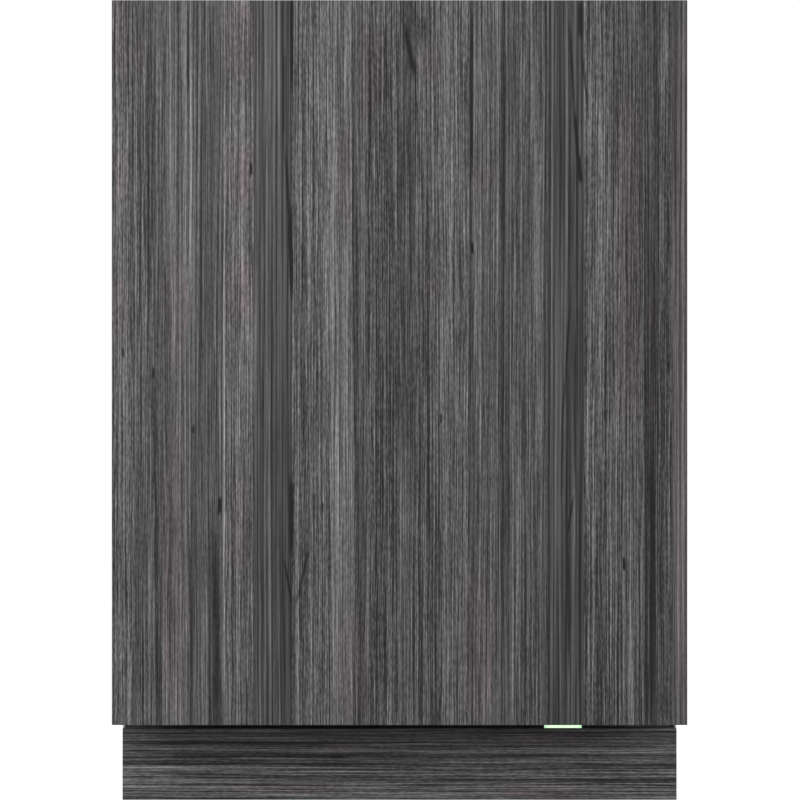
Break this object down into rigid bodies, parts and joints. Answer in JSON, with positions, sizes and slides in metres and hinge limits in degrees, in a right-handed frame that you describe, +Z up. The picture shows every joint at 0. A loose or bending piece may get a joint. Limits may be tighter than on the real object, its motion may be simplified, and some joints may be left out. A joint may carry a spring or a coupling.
{
  "type": "dishwasher",
  "caption": "Fully integrated dishwasher with a wood-decor door front, recessed plinth, drop-down door, wire racks and a cutlery tray.",
  "frame": {"origin": "centre of the bounding box's footprint, on the floor", "axes": "+X to the viewer's right, +Y to the back, +Z up; the door faces -Y"},
  "size_m": [0.598, 0.569, 0.842],
  "materials": {
    "wood_decor": "dark grey wood decor foil on particle board, vertical grain on the door and horizontal on the plinth",
    "stainless": "fine brushed stainless steel",
    "galvanised": "galvanised steel sheet, faint spangle",
    "painted_sheet": "grey powder-coated steel sheet",
    "zinc": "zinc-plated steel",
    "grey_plastic": "moulded mid-grey plastic, fine texture",
    "dark_plastic": "moulded black plastic",
    "light_plastic": "moulded light-grey plastic",
    "white_plastic": "moulded off-white plastic",
    "fascia": "satin black moulded plastic",
    "window": "smoked glossy plastic",
    "keycap": "satin grey moulded caps",
    "board": "green circuit board with its parts",
    "felt": "grey bonded felt",
    "bitumen": "black sound-deadening mat",
    "seal_rubber": "soft dark-grey rubber",
    "coated_wire": "grey nylon coating over steel wire",
    "wheel_plastic": "grey moulded wheel plastic",
    "blue_plastic": "blue moulded cap",
    "status_guide": "clear light guide that glows pale green",
    "spring_steel": "oiled spring steel"
  },
  "bodies": {
    "cabinet": {"plinth_board": "wood_decor", "base_tray": "dark_plastic", "base_front_cover": "dark_plastic", "plinth_brackets": "zinc", "hinge_brackets": "zinc", "door_springs": "spring_steel", "tub_wrapper": "stainless", "tub_rear_wall": "stainless", "tub_floor": "stainless", "front_frame": "stainless", "door_gasket": "seal_rubber", "side_panels": "painted_sheet", "cabinet_screws": "zinc", "top_panel": "galvanised", "rear_panel": "galvanised", "tub_insulation": "felt", "sump": "grey_plastic", "flat_filter": "stainless", "circulation_pump": "grey_plastic", "drain_pump": "dark_plastic", "water_softener": "white_plastic", "inlet_valve": "white_plastic", "water_inlet_chamber": "white_plastic", "terminal_box": "dark_plastic", "spray_feed_pipe": "grey_plastic", "rack_rails": "stainless"},
    "door": {"furniture_panel": "wood_decor", "status_light": "status_guide", "door_outer_panel": "galvanised", "door_inner_liner": "stainless", "door_insulation": "bitumen", "control_fascia": "fascia", "display_window": "window", "control_board": "board", "door_latch": "dark_plastic", "lower_door_seal": "seal_rubber", "hinge_arms": "zinc", "dispenser_body": "grey_plastic"},
    "on_off_key": {"on_off_key": "keycap"},
    "programme_key": {"programme_key": "keycap"},
    "start_key": {"start_key": "keycap"},
    "dispenser_cover": {"dispenser_cover": "light_plastic"},
    "rinse_aid_cap": {"rinse_aid_cap": "blue_plastic"},
    "lower_rack": {"lower_rack": "coated_wire"},
    "front_wheels": {"front_wheels": "wheel_plastic"},
    "rear_wheels": {"rear_wheels": "wheel_plastic"},
    "fold_tines_front": {"fold_tines_front": "coated_wire"},
    "fold_tines_back": {"fold_tines_back": "coated_wire"},
    "rail_slides": {"rail_slides": "zinc"},
    "upper_rack": {"upper_rack": "coated_wire"},
    "upper_spray_arm": {"upper_spray_arm": "grey_plastic"},
    "cutlery_tray": {"cutlery_tray": "light_plastic"},
    "lower_spray_arm": {"lower_spray_arm": "grey_plastic"},
    "ceiling_spray_rotor": {"ceiling_spray_rotor": "grey_plastic"},
    "filter_cylinder": {"filter_cylinder": "light_plastic"},
    "salt_cap": {"salt_cap": "light_plastic"},
    "pump_rotor": {"pump_rotor": "dark_plastic"},
    "front_foot_left": {"front_foot_left": "dark_plastic"},
    "front_foot_right": {"front_foot_right": "dark_plastic"},
    "rear_foot": {"rear_foot": "dark_plastic"}
  },
  "joints": [
    {"name": "door_hinge", "type": "hinge", "parent": "cabinet", "child": "door", "pos_m": [0, -0.2385, 0.135], "axis": [1, 0, 0], "range_deg": [0, 90], "stiffness_Nm_per_rad": 26, "deforming": ["door_springs"]},
    {"name": "on_off_key_press", "type": "slide", "parent": "door", "child": "on_off_key", "axis": [0, 0, -1], "range_m": [0, 0.001], "stiffness_N_per_m": 900},
    {"name": "programme_key_press", "type": "slide", "parent": "door", "child": "programme_key", "axis": [0, 0, -1], "range_m": [0, 0.001], "stiffness_N_per_m": 900},
    {"name": "start_key_press", "type": "slide", "parent": "door", "child": "start_key", "axis": [0, 0, -1], "range_m": [0, 0.001], "stiffness_N_per_m": 900},
    {"name": "dispenser_cover_slide", "type": "slide", "parent": "door", "child": "dispenser_cover", "axis": [0, 0, 1], "range_m": [0, 0.075]},
    {"name": "rinse_aid_cap_turn", "type": "hinge", "parent": "door", "child": "rinse_aid_cap", "pos_m": [0.13, -0.2, 0.5], "axis": [0, 1, 0], "range_deg": [0, 90]},
    {"name": "lower_rack_travel", "type": "slide", "parent": "cabinet", "child": "lower_rack", "axis": [0, -1, 0], "range_m": [0, 0.0905]},
    {"name": "rail_slide_travel", "type": "slide", "parent": "cabinet", "child": "rail_slides", "axis": [0, -1, 0], "range_m": [0, 0.2255]},
    {"name": "upper_rack_travel", "type": "slide", "parent": "cabinet", "child": "upper_rack", "axis": [0, -1, 0], "range_m": [0, 0.451]},
    {"name": "cutlery_tray_travel", "type": "slide", "parent": "cabinet", "child": "cutlery_tray", "axis": [0, -1, 0], "range_m": [0, 0.4255]},
    {"name": "front_wheels_roll", "type": "hinge", "parent": "lower_rack", "child": "front_wheels", "pos_m": [0, -0.15, 0.1883], "axis": [1, 0, 0], "range_deg": [0, 290]},
    {"name": "rear_wheels_roll", "type": "hinge", "parent": "lower_rack", "child": "rear_wheels", "pos_m": [0, 0.19, 0.1883], "axis": [1, 0, 0], "range_deg": [0, 290]},
    {"name": "fold_tines_front_fold", "type": "hinge", "parent": "lower_rack", "child": "fold_tines_front", "pos_m": [0, -0.11, 0.2166], "axis": [-1, 0, 0], "range_deg": [0, 85]},
    {"name": "fold_tines_back_fold", "type": "hinge", "parent": "lower_rack", "child": "fold_tines_back", "pos_m": [0, -0.02, 0.2166], "axis": [-1, 0, 0], "range_deg": [0, 85]},
    {"name": "lower_spray_arm_spin", "type": "hinge", "parent": "cabinet", "child": "lower_spray_arm", "pos_m": [0, 0.03, 0.179], "axis": [0, 0, 1], "continuous": true},
    {"name": "upper_spray_arm_spin", "type": "hinge", "parent": "upper_rack", "child": "upper_spray_arm", "pos_m": [0, 0.03, 0.465], "axis": [0, 0, 1], "continuous": true},
    {"name": "ceiling_rotor_spin", "type": "hinge", "parent": "cabinet", "child": "ceiling_spray_rotor", "pos_m": [0, 0.03, 0.795], "axis": [0, 0, 1], "continuous": true},
    {"name": "filter_lock", "type": "hinge", "parent": "cabinet", "child": "filter_cylinder", "pos_m": [0.075, -0.04, 0.15], "axis": [0, 0, 1], "range_deg": [0, 80]},
    {"name": "salt_cap_turn", "type": "hinge", "parent": "cabinet", "child": "salt_cap", "pos_m": [-0.165, 0, 0.157], "axis": [0, 0, 1], "range_deg": [0, 120]},
    {"name": "pump_rotor_spin", "type": "hinge", "parent": "cabinet", "child": "pump_rotor", "pos_m": [0.2, -0.005, 0.09], "axis": [1, 0, 0], "continuous": true},
    {"name": "front_foot_left_height", "type": "slide", "parent": "cabinet", "child": "front_foot_left", "axis": [0, 0, 1], "range_m": [-0.035, 0.025]},
    {"name": "front_foot_right_height", "type": "slide", "parent": "cabinet", "child": "front_foot_right", "axis": [0, 0, 1], "range_m": [-0.035, 0.025]},
    {"name": "rear_foot_height", "type": "slide", "parent": "cabinet", "child": "rear_foot", "axis": [0, 0, 1], "range_m": [-0.035, 0.025]}
  ],
  "couplings": [
    {"joint": "upper_rack_travel", "follows": "door_hinge", "m_per_rad": 0.28648},
    {"joint": "rail_slide_travel", "follows": "door_hinge", "m_per_rad": 0.14324},
    {"joint": "cutlery_tray_travel", "follows": "door_hinge", "m_per_rad": 0.27056},
    {"joint": "lower_rack_travel", "follows": "door_hinge", "m_per_rad": 0.057296},
    {"joint": "front_wheels_roll", "follows": "door_hinge", "ratio": 3.1831},
    {"joint": "rear_wheels_roll", "follows": "door_hinge", "ratio": 3.1831}
  ]
}
